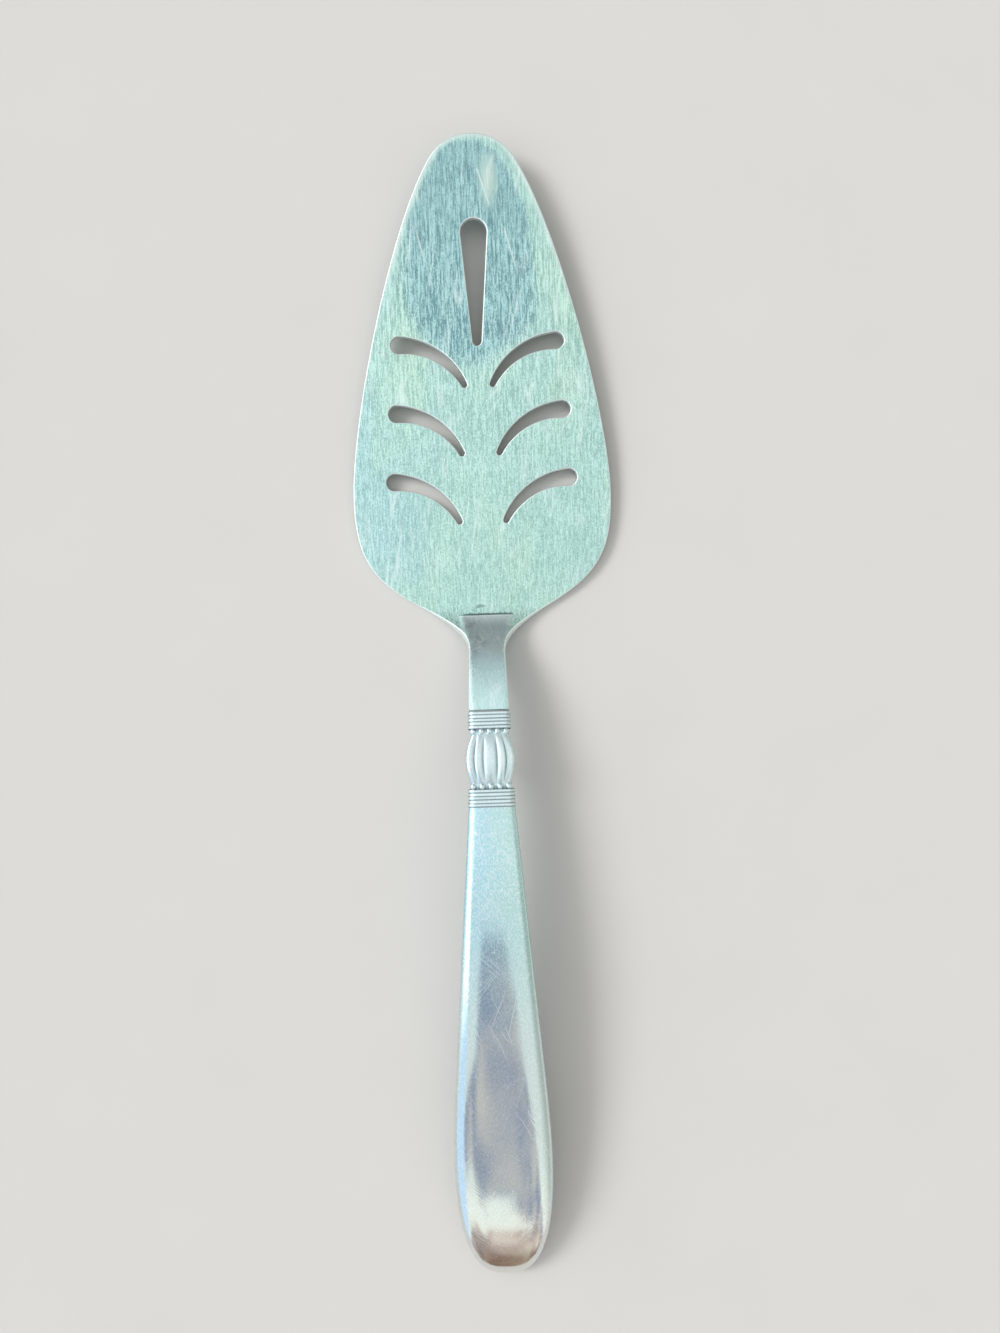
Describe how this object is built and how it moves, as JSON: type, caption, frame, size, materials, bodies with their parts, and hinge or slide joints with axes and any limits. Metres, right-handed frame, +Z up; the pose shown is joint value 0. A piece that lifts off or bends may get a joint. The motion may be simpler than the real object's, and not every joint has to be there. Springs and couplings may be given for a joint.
{
  "type": "pie server",
  "caption": "Pie server: slotted leaf-shaped steel blade on a raised neck, set in a hollow two-shell handle with a beaded, lobed knop and reeded rings, for lifting slices of pie.",
  "frame": {"origin": "bottom centre of the bounding box: on the table, below the middle of the server, on its middle line", "axes": "+Y runs along the server towards the tip, +X to the right as in the picture, +Z up from the table"},
  "size_m": [0.0582, 0.2562, 0.016],
  "materials": {
    "blade_steel": "brushed lengthwise, polished neck",
    "handle_steel": "satin to polished",
    "solder": "dull silver",
    "cement": "matte"
  },
  "bodies": {
    "root": {"blade": "blade_steel", "upper_handle_shell": "handle_steel", "lower_handle_shell": "handle_steel", "seam_solder": "solder", "mouth_solder": "solder", "handle_cement": "cement"}
  },
  "joints": []
}
